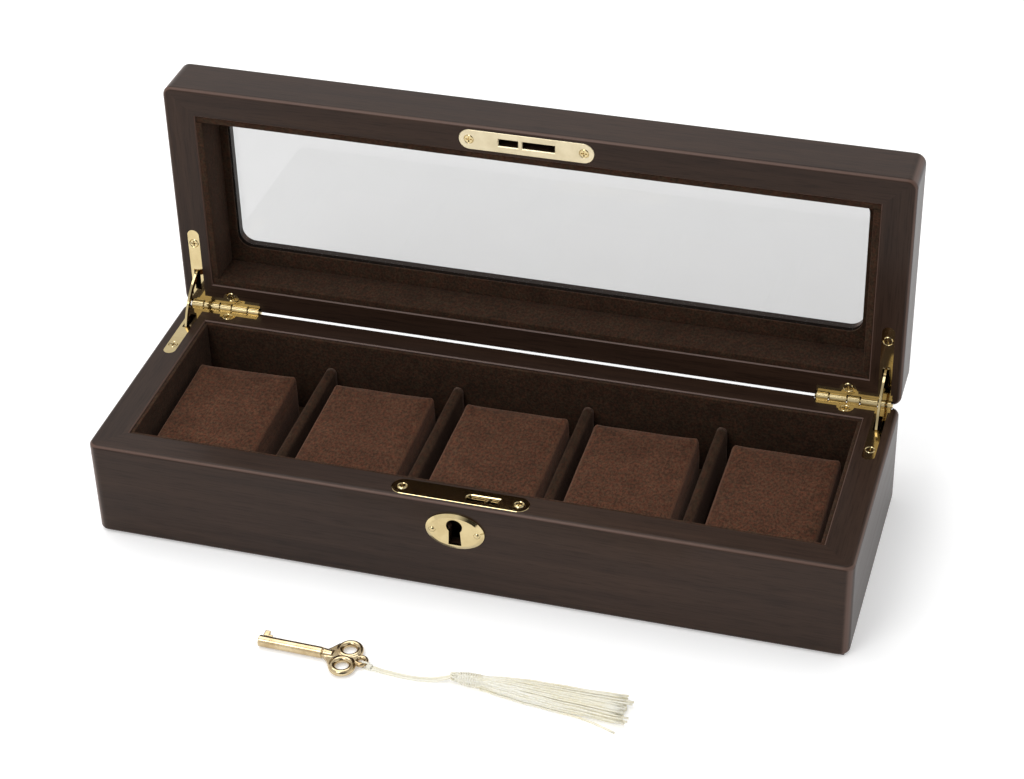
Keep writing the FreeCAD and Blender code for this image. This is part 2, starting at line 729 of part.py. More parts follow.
def lock_spring_leaf():
    """Flat spring leaf beside the hook, on a foot that stands off the case's back."""
    x0 = FACE_SLOT[0] + SPRING_INSET
    x1 = FACE_SLOT[1] - SPRING_INSET
    y0, y1 = SPRING_Y
    z0 = RIM_Z - SPRING_DROP
    foot_l, foot_h = SPRING_FOOT
    leaf = box(x0, x1, y0, y1, z0, RIM_Z - PLATE_T - SPRING_PLATE_GAP)
    foot = box(x1 - foot_l + SPRING_INSET, x1, y1, CASE_Y[1] - CASE_WALL, z0, z0 + foot_h)
    return leaf.fuse(foot).removeSplitter()


def escutcheon(pin_blanks):
    """Oval keyhole plate with a bevelled rim, on the front wall."""

    def oval(y, shrink):
        wire = Part.Wire(Part.Ellipse(V(0, 0, 0), ESCUTCHEON_A - shrink, ESCUTCHEON_B - shrink).toShape())
        wire.rotate(V(0, 0, 0), X_AXIS, 90)
        wire.translate(V(KEYHOLE_X, y, ESCUTCHEON_Z))
        return wire

    y_wall = -DEPTH / 2
    y_edge = y_wall - ESCUTCHEON_EDGE_T
    y_face = y_wall - ESCUTCHEON_T
    rim = Part.makeLoft([oval(y_wall, 0), oval(y_edge, ESCUTCHEON_EDGE_DRAFT)], True, True)
    bevel = Part.makeLoft([oval(y_edge, ESCUTCHEON_EDGE_DRAFT), oval(y_face, ESCUTCHEON_BEVEL)], True, True)
    return cut_all(rim.fuse(bevel), [keyhole(y_face - 1, y_wall + 1)] + pin_blanks)


def escutcheon_pin(side):
    """Round-headed pin that holds the keyhole plate, driven into the front wall."""
    x = KEYHOLE_X + side * ESCUTCHEON_PIN_X
    y_face = -DEPTH / 2 - ESCUTCHEON_T
    r = ESCUTCHEON_PIN_R
    z = ESCUTCHEON_Z
    shank_r, shank_l = ESCUTCHEON_SHANK
    shank = rod(shank_r, V(x, y_face, z), Y_AXIS, shank_l)
    head = Part.makeSphere(r, V(x, y_face + r * ESCUTCHEON_PIN_SUNK, z))
    head = head.common(box(x - r, x + r, y_face - r, y_face + ESCUTCHEON_PIN_ROOT, z - r, z + r))
    return shank.fuse(head)


def strike_plate(screw_blanks):
    """Strike plate in the lid's front rail, with the two slots that the hook passes."""
    plate = stadium(-PLATE_HALF, PLATE_HALF, PLATE_Y, PLATE_W, LID_RIM_Z, LID_RIM_Z + PLATE_T)
    y0 = STRIKE_SLOT_Y - STRIKE_SLOT_W / 2
    y1 = STRIKE_SLOT_Y + STRIKE_SLOT_W / 2
    z0 = LID_RIM_Z - 1
    z1 = LID_RIM_Z + PLATE_T + 1
    slots = [box(x0, x1, y0, y1, z0, z1) for x0, x1 in STRIKE_SLOTS]
    return cut_all(break_edges(cut_all(plate, slots), LID_RIM_Z, PLATE_EDGE), screw_blanks)


# ---- key, cord and tassel ----
def torus(x, y, ring_r, tube_r):
    """Flat ring about an upright axis, in the key's own frame."""
    return Part.makeTorus(ring_r, tube_r, V(x, y, KEY_BOW_Z - KEY_BARREL_R), Z_AXIS)


def place_on_key(shape):
    """Move a shape from the key's own frame, tip at the origin, to where the key lies."""
    shape.rotate(V(0, 0, 0), Z_AXIS, KEY_TURN)
    shape.translate(V(KEY_TIP[0], KEY_TIP[1], KEY_BARREL_R))
    return shape


def bow_web():
    """Flat web that runs from the neck to the two large rings and fills the space between them."""
    z = KEY_BOW_Z - KEY_BARREL_R
    mirrored = [(x, -y) for x, y in reversed(KEY_WEB_OUTLINE)]
    web = prism(list(KEY_WEB_OUTLINE) + mirrored, z - KEY_WEB_HALF_T, z + KEY_WEB_HALF_T)
    hole_r = KEY_RING_R - KEY_RING_TUBE / 2
    holes = []
    for side in (-1, 1):
        bottom = V(KEY_RING_X, side * KEY_RING_Y, z - KEY_BARREL_R)
        holes.append(rod(hole_r, bottom, Z_AXIS, 2 * KEY_BARREL_R))
    return cut_all(web, holes)


def key():
    """Hollow-barrelled key with a groove at its neck, a stepped bit and a three-ring bow."""
    barrel = rod(KEY_BARREL_R, V(0, 0, 0), X_AXIS, KEY_BARREL_L)
    groove = rod(KEY_GROOVE_R, V(KEY_BARREL_L, 0, 0), X_AXIS, KEY_GROOVE_L)
    neck_start = V(KEY_BARREL_L + KEY_GROOVE_L, 0, 0)
    neck = Part.makeCone(KEY_NECK_R[0], KEY_NECK_R[1], KEY_NECK_L, neck_start, X_AXIS)
    root, step_tip, tip = KEY_BIT_R
    t = KEY_BIT_HALF_T
    bit = box(KEY_BIT_X[0], KEY_BIT_X[1], root, step_tip, -t, t)
    bit = bit.fuse(box(KEY_BIT_X[0], KEY_BIT_STEP_X, root, tip, -t, t))
    bit.rotate(V(0, 0, 0), X_AXIS, KEY_BIT_TURN)
    body = barrel.fuse(groove).fuse(neck).fuse(bit).fuse(bow_web())
    for side in (-1, 1):
        body = body.fuse(torus(KEY_RING_X, side * KEY_RING_Y, KEY_RING_R, KEY_RING_TUBE))
    body = body.fuse(torus(KEY_LOBE_X, 0, KEY_LOBE_R, KEY_LOBE_TUBE))
    body = body.cut(rod(KEY_BORE_R, V(-1, 0, 0), X_AXIS, KEY_BORE_L + 1))
    return place_on_key(body)


def tube_along(points, diameter):
    """Tube on straight runs joined by tangent arcs. Also returns the arcs' radii and the length."""
    p = [V(*point) for point in points]
    edges = []
    radii = []
    start = p[0]
    for before, here, after in zip(p, p[1:], p[2:]):
        run_in = (here - before)
        run_out = (after - here)
        turn = run_in.getAngle(run_out)
        shorter = min(run_in.Length, run_out.Length)
        setback = 0.45 * shorter
        radii.append(setback / math.tan(turn / 2))
        to_arc = here - run_in.normalize() * setback
        from_arc = here + run_out.normalize() * setback
        bisector = ((to_arc - here) + (from_arc - here)).normalize()
        to_centre = math.hypot(radii[-1], setback)
        middle = here + bisector * (to_centre - radii[-1])
        edges.append(Part.makeLine(start, to_arc))
        edges.append(Part.Arc(to_arc, middle, from_arc).toShape())
        start = from_arc
    edges.append(Part.makeLine(start, p[-1]))
    path = Part.Wire(edges)
    first = (p[1] - p[0]).normalize()
    ring = Part.Wire(Part.makeCircle(diameter / 2, p[0], first))
    tube = path.makePipeShell([ring], True, False)
    return tube, radii, path.Length


def cords(ends):
    """The two halves of the doubled cord, trimmed where they meet the knot and the tassel."""
    nodes = {}
    for name, route in (("key_cord_back", CORD_ROUTE_BACK), ("key_cord_front", CORD_ROUTE_FRONT)):
        tube, radii, length = tube_along(route, CORD_D)
        section = math.pi * (CORD_D / 2) ** 2
        print(name, "length", round(length, 2), "volume ratio", round(tube.Volume / section / length, 4))
        print(name, "radii", [round(r, 1) for r in radii])
        nodes[name] = cut_all(tube, ends)
    return nodes


def tassel_head():
    """Tassel head: a narrow neck at the cord that swells to the bound head."""
    length = TASSEL_PROFILE[-1][0]
    profile = [V(0, 0, 0)] + [V(x, 0, radius) for x, radius in TASSEL_PROFILE] + [V(length, 0, 0), V(0, 0, 0)]
    head = Part.Face(Part.makePolygon(profile)).revolve(V(0, 0, 0), X_AXIS, 360)
    head.rotate(V(0, 0, 0), Z_AXIS, TASSEL_TURN)
    head.translate(V(*TASSEL_START))
    return head


def tassel_skirt(head):
    """Flattened, fanned body of the skirt, from the head to the strands' ends."""

    def oval(x, half_w, half_h):
        wire = Part.Wire(Part.Ellipse(V(0, 0, 0), half_w, half_h).toShape())
        wire.rotate(V(0, 0, 0), Z_AXIS, 90)
        wire.rotate(V(0, 0, 0), Y_AXIS, 90)
        wire.translate(V(x, 0, half_h + SKIRT_LIFT))
        return wire

    skirt = Part.makeLoft([oval(*section) for section in SKIRT_SECTIONS], True, False)
    skirt.rotate(V(0, 0, 0), Z_AXIS, TASSEL_TURN)
    skirt.translate(V(TASSEL_START[0], TASSEL_START[1], 0))
    return skirt.cut(head)


def knot():
    """Wrapped knot that ties the doubled cord to the small ring of the key."""
    y, z = KNOT_YZ
    return rod(KNOT_R, V(KNOT_X[0], y, z), X_AXIS, KNOT_X[1] - KNOT_X[0])


# ---- assembly ----
def strike_pocket():
    """Pocket in the lid's front rail that the hook swings through."""
    y0 = STRIKE_SLOT_Y - STRIKE_POCKET_W / 2
    y1 = STRIKE_SLOT_Y + STRIKE_POCKET_W / 2
    return box(STRIKE_POCKET_X[0], STRIKE_POCKET_X[1], y0, y1, LID_RIM_Z, LID_RIM_Z + STRIKE_POCKET_DEPTH)


def both_sides(nodes, name, shape):
    """Add a right-hand piece and its mirror image."""
    nodes[name + "_right"] = shape
    nodes[name + "_left"] = mirror_x(shape)


def hinge_screw_places(z, up):
    """Places of the two screws in each of the two leaves at one height."""
    arm = (ARM_X, AXIS_Y - ARM_SCREW_S)
    leg = (LEG_SCREW_X, AXIS_Y - LEG_SCREW_S)
    return [(side * x, y, z, up) for side in (-1, 1) for x, y in (arm, leg)]


def base_nodes():
    """Every piece that stays with the base."""
    nodes = {}
    hinge_screws, hinge_blanks = screw_set(hinge_screw_places(RIM_Z, 1))
    plate_places = [(side * PLATE_SCREW_X, PLATE_Y, RIM_Z, 1, PLATE_SCREW_DOME) for side in (-1, 1)]
    plate_screws, plate_blanks = screw_set(plate_places)
    pins = [escutcheon_pin(side) for side in (-1, 1)]
    leaf_z = (RIM_Z - LEAF_T, RIM_Z)
    recess = hinge_recess(*leaf_z)
    lock_cutters = [
        stadium(-PLATE_HALF, PLATE_HALF, PLATE_Y, PLATE_W, RIM_Z - PLATE_T, RIM_Z + 1),
        box(-CASE_HALF, CASE_HALF, CASE_Y[0], CASE_Y[1], RIM_Z - CASE_DROP, RIM_Z),
        keyhole(-DEPTH / 2 - 1, CASE_Y[0] + 0.5),
    ]
    cutters = recess + [mirror_x(c) for c in recess] + lock_cutters
    nodes.update(base_walls(cutters + hinge_blanks + plate_blanks + pins))
    nodes.update(base_floor())
    nodes.update(base_lining())
    nodes.update(dividers())
    nodes.update(pillows())
    nodes["lock_face_plate"] = lock_face_plate(plate_blanks)
    nodes["lock_case"] = lock_case()
    nodes["lock_hook"] = lock_hook()
    nodes["lock_hook_pin"] = lock_hook_pin()
    nodes["lock_key_post"] = lock_key_post()
    nodes["lock_spring_leaf"] = lock_spring_leaf()
    nodes["lock_plate_screws"] = plate_screws
    nodes["escutcheon"] = escutcheon(pins)
    nodes["escutcheon_pins"] = Part.makeCompound(pins)
    both_sides(nodes, "hinge_base_leaf", hinge_leaf("base", *leaf_z, hinge_blanks))
    both_sides(nodes, "hinge_pin", hinge_pin())
    both_sides(nodes, "hinge_stay", hinge_stay())
    nodes["hinge_base_screws"] = hinge_screws
    return nodes


def lid_nodes():
    """Every piece that turns with the lid, at its open rest position."""
    hinge_screws, hinge_blanks = screw_set(hinge_screw_places(LID_RIM_Z, -1))
    strike_places = [(side * PLATE_SCREW_X, PLATE_Y, LID_RIM_Z, -1) for side in (-1, 1)]
    strike_screws, strike_blanks = screw_set(strike_places)
    leaf_z = (LID_RIM_Z, LID_RIM_Z + LEAF_T)
    recess = hinge_recess(*leaf_z)
    strike_cutters = [
        stadium(-PLATE_HALF, PLATE_HALF, PLATE_Y, PLATE_W, LID_RIM_Z - 1, LID_RIM_Z + PLATE_T),
        strike_pocket(),
    ]
    cutters = recess + [mirror_x(c) for c in recess] + strike_cutters
    lid = lid_wood(cutters + hinge_blanks + strike_blanks)
    lid.update(lid_lining())
    lid["lid_glass"] = glass_blank()
    both_sides(lid, "hinge_lid_leaf", hinge_leaf("lid", *leaf_z, hinge_blanks))
    lid["hinge_lid_screws"] = hinge_screws
    lid["strike_plate"] = strike_plate(strike_blanks)
    lid["strike_plate_screws"] = strike_screws
    return {name: open_lid(shape) for name, shape in lid.items()}


def key_nodes():
    """The key with its cord and tassel, lying in front of the box."""
    head = tassel_head()
    nodes = {"key": key(), "cord_knot": knot(), "tassel_head": head, "tassel_skirt": tassel_skirt(head)}
    nodes.update(cords([nodes["cord_knot"], head]))
    return nodes


def build():
    """Every piece by node name."""
    return {**base_nodes(), **lid_nodes(), **key_nodes()}


os.makedirs("parts", exist_ok=True)
for node, shape in build().items():
    if not shape.isValid():
        print("not valid:", node)
    print(node, "solids", len(shape.Solids), "volume", round(shape.Volume, 1))
    shape.exportStep(f"parts/{node}.step")
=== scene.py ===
import math
import random

import bmesh
import bpy
from mathutils import Matrix, Vector, noise


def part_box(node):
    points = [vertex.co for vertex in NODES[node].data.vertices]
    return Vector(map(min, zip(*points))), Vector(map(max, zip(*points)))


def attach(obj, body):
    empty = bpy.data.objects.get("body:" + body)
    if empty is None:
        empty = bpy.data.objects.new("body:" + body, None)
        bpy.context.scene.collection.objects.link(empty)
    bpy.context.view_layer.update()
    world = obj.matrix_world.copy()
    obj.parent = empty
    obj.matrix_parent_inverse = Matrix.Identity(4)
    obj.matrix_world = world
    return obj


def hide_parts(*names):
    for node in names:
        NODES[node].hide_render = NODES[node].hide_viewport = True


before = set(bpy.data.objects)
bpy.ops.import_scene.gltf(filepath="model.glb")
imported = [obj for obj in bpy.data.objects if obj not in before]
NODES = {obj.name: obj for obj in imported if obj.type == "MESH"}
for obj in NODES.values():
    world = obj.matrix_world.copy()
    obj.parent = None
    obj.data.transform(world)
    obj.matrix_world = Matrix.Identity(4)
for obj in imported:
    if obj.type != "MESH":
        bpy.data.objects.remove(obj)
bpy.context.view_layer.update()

# Looks of a lockable five-place watch box: stained wood, suede, brass, glass, and a key on a tassel.
# Metres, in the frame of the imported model: +X along the length, +Y from lock to hinges, +Z up.

MM = 0.001

# ---- camera ----
CAMERA_PLACE = Vector((0.27580, -0.85582, 0.71825))
CAMERA_TARGET = Vector((0.006919, 0.005225, 0.065683))
CAMERA_ROLL = math.radians(-1.778)
CAMERA_LENS = 89.48
CAMERA_SENSOR = 36.0

# ---- light: softboxes as (name, place, target, side, watts) ----
SOFTBOXES = (
    ("overhead_softbox", (-0.35, 0.25, 1.3), (0, 0, 0.03), 1.1, 8.0),
    ("front_softbox", (-0.35, -0.84, 1.12), (0, -0.03, 0.05), 0.55, 4.5),
)
FLOOR_GLOW = 0.31
FLOOR_REACH = 6
# Where the unlit corner of the studio lies, seen from the box.
DARK_CORNER = Vector((0.42, -0.86, 0.28))

# ---- glass: the share of light that each face of the pane holds back ----
GLASS_COVER = 0.26

# ---- cord: the two halves of one doubled cord, from the knot at the key to the tassel ----
CORD_D = 1.2 * MM
CORD_ROUTES = {
    "key_cord_back": (
        (-20.6, -114.28, 1.30),
        (-17.1, -114.55, 0.72),
        (-12.2, -114.95, 0.62),
        (-6.1, -115.30, 0.61),
        (-0.2, -115.25, 0.61),
        (5.3, -114.45, 0.72),
        (9.6, -113.30, 1.45),
        (13.0, -112.48, 2.30),
    ),
    "key_cord_front": (
        (-20.6, -115.52, 1.30),
        (-16.6, -115.86, 0.72),
        (-11.0, -116.30, 0.62),
        (-4.8, -116.65, 0.61),
        (0.9, -116.52, 0.61),
        (6.1, -115.68, 0.72),
        (10.0, -114.55, 1.45),
        (13.0, -113.72, 2.30),
    ),
}

# ---- tassel, in its own frame: x from the cord's end, turned a little in plan ----
TASSEL_START = Vector((13.0, -113.1, 3.0)) * MM
TASSEL_TURN = math.radians(-0.5)
HEAD_PROFILE = ((0.0, 1.6), (2.0, 1.6), (5.0, 2.6), (8.0, 3.0), (12.5, 3.0), (14.5, 2.75))
SKIRT_SECTIONS = ((14.5, 2.5, 2.4), (24.0, 4.4, 2.4), (34.0, 6.0, 2.2), (52.0, 7.4, 1.9), (78.0, 9.0, 1.6))
STRANDS = 92
STRAND_R = 0.50
HEAD_SEED = 11
SKIRT_SEED = 29
NECK_LOOPS = 9

# ---- knot beside the key's small ring ----
KNOT_TURNS = 3.4
KNOT_WRAP_Y = 1.02 * MM
KNOT_WRAP_Z = 0.95 * MM
KNOT_YARN_R = 0.42 * MM
RING_W = 1.1 * MM

# ---- suede-covered boards and dividers ----
BOARD_ROUND = 0.35 * MM
BOARD_CELL = 5 * MM
FELT_CELL = 12 * MM
BOARD_WAVE = 0.10 * MM
BOARD_WAVE_SCALE = 60
DIVIDER_WAVE = 0.12 * MM
DIVIDER_WAVE_SCALE = 70
BORDER_ROUND = 0.3 * MM
SHARP_ANGLE = 0.6

# ---- pillows: gap is what a turned pillow keeps clear of its own CAD box along x, y and z ----
PILLOW_SCALE = 10.0
PILLOW_ROUND = 2.4 * MM
PILLOW_CELL = 1.8 * MM
PILLOW_PRESSURE = 3.0
PILLOW_SWELL = 0.5 * MM
PILLOW_CROWN = 0.3 * MM
PILLOW_DENT = 0.004
PILLOW_SEAM = 0.006
PILLOW_TURNS = [math.radians(turn) for turn in (1.5, 1.0, 0.3, 0.8, 0.2)]
SEAM_W = 0.8 * MM
PILLOW_GAP = (0.20 * MM, 0.10 * MM, 0.0)

# ---- key ----
KEY_VOXEL = 0.16 * MM
KEY_SOFTENING = 4


# ---- small helpers ----
def mesh_piece(name, bm, material, smooth=True):
    """Object from a bmesh, placed in the frame's own coordinates."""
    mesh = bpy.data.meshes.new(name)
    bm.normal_update()
    bm.to_mesh(mesh)
    bm.free()
    if smooth:
        mesh.polygons.foreach_set("use_smooth", [True] * len(mesh.polygons))
    mesh.materials.append(material)
    piece = bpy.data.objects.new(name, mesh)
    bpy.context.scene.collection.objects.link(piece)
    return piece


def settle(piece, body, slot, *nodes):
    """Say what a finished piece rides on and the nodes that it stands for. The slot argument is not used."""
    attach(piece, body)
    if nodes:
        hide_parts(*nodes)
    return piece


def lerp(a, b, t):
    """Value between a and b."""
    return a + (b - a) * t


def along_table(table, x):
    """Smoothly interpolated row of a table whose first column is x."""
    if x <= table[0][0]:
        return table[0][1:]
    for low, high in zip(table, table[1:]):
        if x <= high[0]:
            t = (x - low[0]) / (high[0] - low[0])
            t = t * t * (3 - 2 * t)
            return tuple(lerp(a, b, t) for a, b in zip(low[1:], high[1:]))
    return table[-1][1:]


# ---- material building ----
def blank_material(name, roughness, metallic=0.0):
    """Node material with a Principled shader, and its tree and shader."""
    material = bpy.data.materials.new(name)
    material.use_nodes = True
    tree = material.node_tree
    shader = tree.nodes["Principled BSDF"]
    shader.inputs["Roughness"].default_value = roughness
    shader.inputs["Metallic"].default_value = metallic
    return material, tree, shader


def texture(tree, kind, scale, stretch=(1, 1, 1), turn=(0, 0, 0), **values):
    """Procedural texture in the piece's own coordinates. Stretch divides the scale along each axis."""
    place = tree.nodes.new("ShaderNodeTexCoord")
    mapping = tree.nodes.new("ShaderNodeMapping")
    mapping.inputs["Scale"].default_value = [1 / s for s in stretch]
    mapping.inputs["Rotation"].default_value = turn
    tree.links.new(place.outputs["Object"], mapping.inputs["Vector"])
    made = tree.nodes.new(kind)
    tree.links.new(mapping.outputs["Vector"], made.inputs["Vector"])
    made.inputs["Scale"].default_value = scale
    for key, value in values.items():
        made.inputs[key.replace("_", " ").capitalize()].default_value = value
    return made


def ramp(tree, source, *stops):
    """Colour ramp from (position, colour) stops."""
    made = tree.nodes.new("ShaderNodeValToRGB")
    points = made.color_ramp.elements
    while len(points) < len(stops):
        points.new(0.5)
    for point, (position, colour) in zip(points, stops):
        point.position = position
        point.color = (*colour, 1)
    tree.links.new(source, made.inputs["Fac"])
    return made.outputs["Color"]


def mix(tree, kind, amount, a, b):
    """Blend of two colours. Amount is a number or a socket."""
    made = tree.nodes.new("ShaderNodeMix")
    made.data_type = "RGBA"
    made.blend_type = kind
    for index, value in ((0, amount), (6, a), (7, b)):
        if isinstance(value, bpy.types.NodeSocket):
            tree.links.new(value, made.inputs[index])
        elif index == 0:
            made.inputs[index].default_value = value
        else:
            made.inputs[index].default_value = (*value, 1)
    return made.outputs[2]


def spread(tree, source, low, high):
    """Map a 0 to 1 socket to a range."""
    made = tree.nodes.new("ShaderNodeMapRange")
    made.inputs["To Min"].default_value = low
    made.inputs["To Max"].default_value = high
    tree.links.new(source, made.inputs["Value"])
    return made.outputs["Result"]


def bumps(tree, shader, *layers):
    """Chain of bumps on the shader from (height socket, distance in mm, strength)."""
    last = None
    for height, distance, strength in layers:
        made = tree.nodes.new("ShaderNodeBump")
        made.inputs["Distance"].default_value = distance * MM
        made.inputs["Strength"].default_value = strength
        tree.links.new(height, made.inputs["Height"])
        if last:
            tree.links.new(last, made.inputs["Normal"])
        last = made.outputs["Normal"]
    tree.links.new(last, shader.inputs["Normal"])


def edge_mask(tree, strength):
    """Strength on rounded and bevelled edges, and none on faces that lie square to the axes."""
    place = tree.nodes.new("ShaderNodeTexCoord")
    size = tree.nodes.new("ShaderNodeVectorMath")
    size.operation = "ABSOLUTE"
    tree.links.new(place.outputs["Normal"], size.inputs[0])
    parts = tree.nodes.new("ShaderNodeSeparateXYZ")
    tree.links.new(size.outputs["Vector"], parts.inputs["Vector"])
    largest = parts.outputs["X"]
    for part in ("Y", "Z"):
        larger = tree.nodes.new("ShaderNodeMath")
        larger.operation = "MAXIMUM"
        tree.links.new(largest, larger.inputs[0])
        tree.links.new(parts.outputs[part], larger.inputs[1])
        largest = larger.outputs["Value"]
    made = tree.nodes.new("ShaderNodeMapRange")
    made.interpolation_type = "SMOOTHSTEP"
    made.inputs["From Min"].default_value = 0.97
    made.inputs["From Max"].default_value = 0.80
    made.inputs["To Max"].default_value = strength
    tree.links.new(largest, made.inputs["Value"])
    return made.outputs["Result"]


# ---- materials ----
GRAIN = {"x": (1, 0, 0), "y": (0, 1, 0), "z": (0, 0, 1)}
# Lighter reddish brown for rounded and bevelled wood edges: partly worn stain, partly a painted highlight
# where these edges catch the light.
WORN_STAIN_AND_EDGE_HIGHLIGHT = (0.120, 0.072, 0.056)


def wood(axis):
    """Dark satin stain, with streaks and fine pores along one axis."""
    material, tree, shader = blank_material("stained_wood_" + axis, 0.40)
    long_streak = [30.0 if on else 1.0 for on in GRAIN[axis]]
    long_pore = [22.0 if on else 1.0 for on in GRAIN[axis]]
    streaks = texture(tree, "ShaderNodeTexNoise", 210, long_streak, detail=6, roughness=0.62, distortion=0.5)
    pores = texture(tree, "ShaderNodeTexNoise", 1500, long_pore, detail=3, roughness=0.6)
    clouds = texture(tree, "ShaderNodeTexNoise", 22, [4.0 if on else 1.0 for on in GRAIN[axis]], detail=2)
    tone = ramp(
        tree,
        streaks.outputs["Fac"],
        (0.28, (0.0225, 0.0118, 0.0076)),
        (0.50, (0.0310, 0.0166, 0.0108)),
        (0.72, (0.0400, 0.0218, 0.0142)),
    )
    pore_tone = ramp(tree, pores.outputs["Fac"], (0.36, (0.55, 0.52, 0.50)), (0.50, (1.0, 1.0, 1.0)))
    cloud_tone = ramp(tree, clouds.outputs["Fac"], (0.3, (0.88, 0.90, 0.94)), (0.7, (1.12, 1.07, 1.0)))
    tone = mix(tree, "MULTIPLY", 0.7, tone, pore_tone)
    tone = mix(tree, "MULTIPLY", 1.0, tone, cloud_tone)
    # Rounded and bevelled edges take the lighter edge colour: worn stain plus painted highlight.
    tone = mix(tree, "MIX", edge_mask(tree, 0.85), tone, WORN_STAIN_AND_EDGE_HIGHLIGHT)
    tree.links.new(tone, shader.inputs["Base Color"])
    tree.links.new(spread(tree, streaks.outputs["Fac"], 0.32, 0.44), shader.inputs["Roughness"])
    shader.inputs["Specular IOR Level"].default_value = 0.13
    shader.inputs["Coat Weight"].default_value = 0.10
    shader.inputs["Coat Roughness"].default_value = 0.16
    bumps(tree, shader, (pores.outputs["Fac"], 0.04, 0.30), (streaks.outputs["Fac"], 0.05, 0.12))
    return material


def suede(name, dark, light, fleck, sheen_and_edge_highlight=1.0):
    """Brushed suede: mottled colour, short fibres, a soft sheen and a painted highlight on rounded edges."""
    material, tree, shader = blank_material(name, 0.95)
    patches = texture(tree, "ShaderNodeTexNoise", 95, detail=4, roughness=0.6, distortion=0.4)
    fibres = texture(tree, "ShaderNodeTexNoise", 900, (1.0, 1.5, 1.0), detail=4, roughness=0.75)
    hues = texture(tree, "ShaderNodeTexNoise", 620, detail=2, roughness=0.5)
    pile = texture(tree, "ShaderNodeTexNoise", 3000, detail=2, roughness=0.6)
    tone = ramp(tree, patches.outputs["Fac"], (0.30, dark), (0.70, light))
    fibre_tone = ramp(tree, fibres.outputs["Fac"], (0.38, (0.50, 0.50, 0.50)), (0.62, fleck))
    hue_tone = ramp(tree, hues.outputs["Fac"], (0.38, (1.14, 0.90, 0.82)), (0.62, (0.90, 1.06, 1.02)))
    tone = mix(tree, "MULTIPLY", 0.85, tone, fibre_tone)
    tone = mix(tree, "MULTIPLY", 0.9, tone, hue_tone)
    # Painted highlight: rounded edges are lightened towards twice the light colour, as if they caught the
    # light.
    tone = mix(tree, "MIX", edge_mask(tree, 0.30 * sheen_and_edge_highlight), tone, [2.0 * c for c in light])
    tree.links.new(tone, shader.inputs["Base Color"])
    shader.inputs["Specular IOR Level"].default_value = 0.12
    shader.inputs["Sheen Weight"].default_value = 0.35 * sheen_and_edge_highlight
    shader.inputs["Sheen Roughness"].default_value = 0.45
    shader.inputs["Sheen Tint"].default_value = (0.62, 0.42, 0.33, 1)
    bumps(tree, shader, (fibres.outputs["Fac"], 0.25, 0.45), (pile.outputs["Fac"], 0.12, 0.40))
    return material


def metal(name, colour, shade, roughness, wear=0.06):
    """Brass with faint cloudy tarnish and hairline polishing marks."""
    material, tree, shader = blank_material(name, roughness, metallic=1.0)
    clouds = texture(tree, "ShaderNodeTexNoise", 160, detail=5, roughness=0.6)
    hairs = texture(tree, "ShaderNodeTexNoise", 2600, (18.0, 1.0, 1.0), detail=2)
    tone = ramp(tree, clouds.outputs["Fac"], (0.35, shade), (0.62, colour))
    tree.links.new(tone, shader.inputs["Base Color"])
    rough = spread(tree, clouds.outputs["Fac"], roughness + wear, roughness)
    tree.links.new(rough, shader.inputs["Roughness"])
    bumps(tree, shader, (hairs.outputs["Fac"], 0.002, 0.06))
    return material


def glass():
    """Clear float glass with a faint grey tint. Most light goes straight through each face."""
    material, tree, shader = blank_material("clear_glass", 0.0)
    film = texture(tree, "ShaderNodeTexNoise", 9, detail=2)
    tint = ramp(tree, film.outputs["Fac"], (0.2, (0.030, 0.031, 0.029)), (0.8, (0.038, 0.039, 0.037)))
    tree.links.new(tint, shader.inputs["Base Color"])
    shader.inputs["Alpha"].default_value = GLASS_COVER
    shader.inputs["IOR"].default_value = 1.52
    shader.inputs["Specular IOR Level"].default_value = 1.0
    return material


def yarn(name, dark, light, across, sheen):
    """Silky cream yarn with fine strands along X."""
    material, tree, shader = blank_material(name, 0.55)
    strands = texture(tree, "ShaderNodeTexNoise", across, (14.0, 1.0, 1.0), detail=3, roughness=0.6)
    patches = texture(tree, "ShaderNodeTexNoise", 130, (3.0, 1.0, 1.0), detail=2)
    tone = ramp(tree, strands.outputs["Fac"], (0.30, dark), (0.62, light))
    warm = ramp(tree, patches.outputs["Fac"], (0.35, (0.98, 0.95, 0.86)), (0.65, (1.0, 1.0, 1.0)))
    tree.links.new(mix(tree, "MULTIPLY", 0.8, tone, warm), shader.inputs["Base Color"])
    shader.inputs["Subsurface Weight"].default_value = 0.15
    shader.inputs["Subsurface Radius"].default_value = (0.0012, 0.0010, 0.0007)
    shader.inputs["Subsurface Scale"].default_value = 1.0
    shader.inputs["Sheen Weight"].default_value = sheen
    shader.inputs["Sheen Roughness"].default_value = 0.4
    bumps(tree, shader, (strands.outputs["Fac"], 0.12, 0.5))
    return material


WOOD = {axis: wood(axis) for axis in GRAIN}
PILLOW_SUEDE = suede("pillow_suede", (0.046, 0.0195, 0.0106), (0.070, 0.0305, 0.0172), (1.75, 1.70, 1.65))
LINING_SUEDE = suede(
    "lining_suede", (0.0255, 0.0130, 0.0074), (0.0410, 0.0212, 0.0122), (1.5, 1.5, 1.5), sheen_and_edge_highlight=0.6
)
FELT = suede("underside_felt", (0.010, 0.008, 0.007), (0.022, 0.017, 0.015), (1.3, 1.3, 1.3), sheen_and_edge_highlight=0.8)
POLISHED = metal("polished_brass", (0.64, 0.52, 0.285), (0.57, 0.45, 0.235), 0.06, 0.03)
SATIN = metal("satin_brass", (0.70, 0.61, 0.42), (0.63, 0.54, 0.36), 0.26, 0.08)
PRESSED = metal("lock_metal", (0.50, 0.44, 0.33), (0.34, 0.28, 0.20), 0.16, 0.10)
CASE_STEEL = metal("lock_case_steel", (0.10, 0.08, 0.06), (0.05, 0.04, 0.03), 0.45, 0.12)
KEY_METAL = metal("key_metal", (0.62, 0.50, 0.31), (0.44, 0.32, 0.17), 0.12, 0.08)
GLASS = glass()
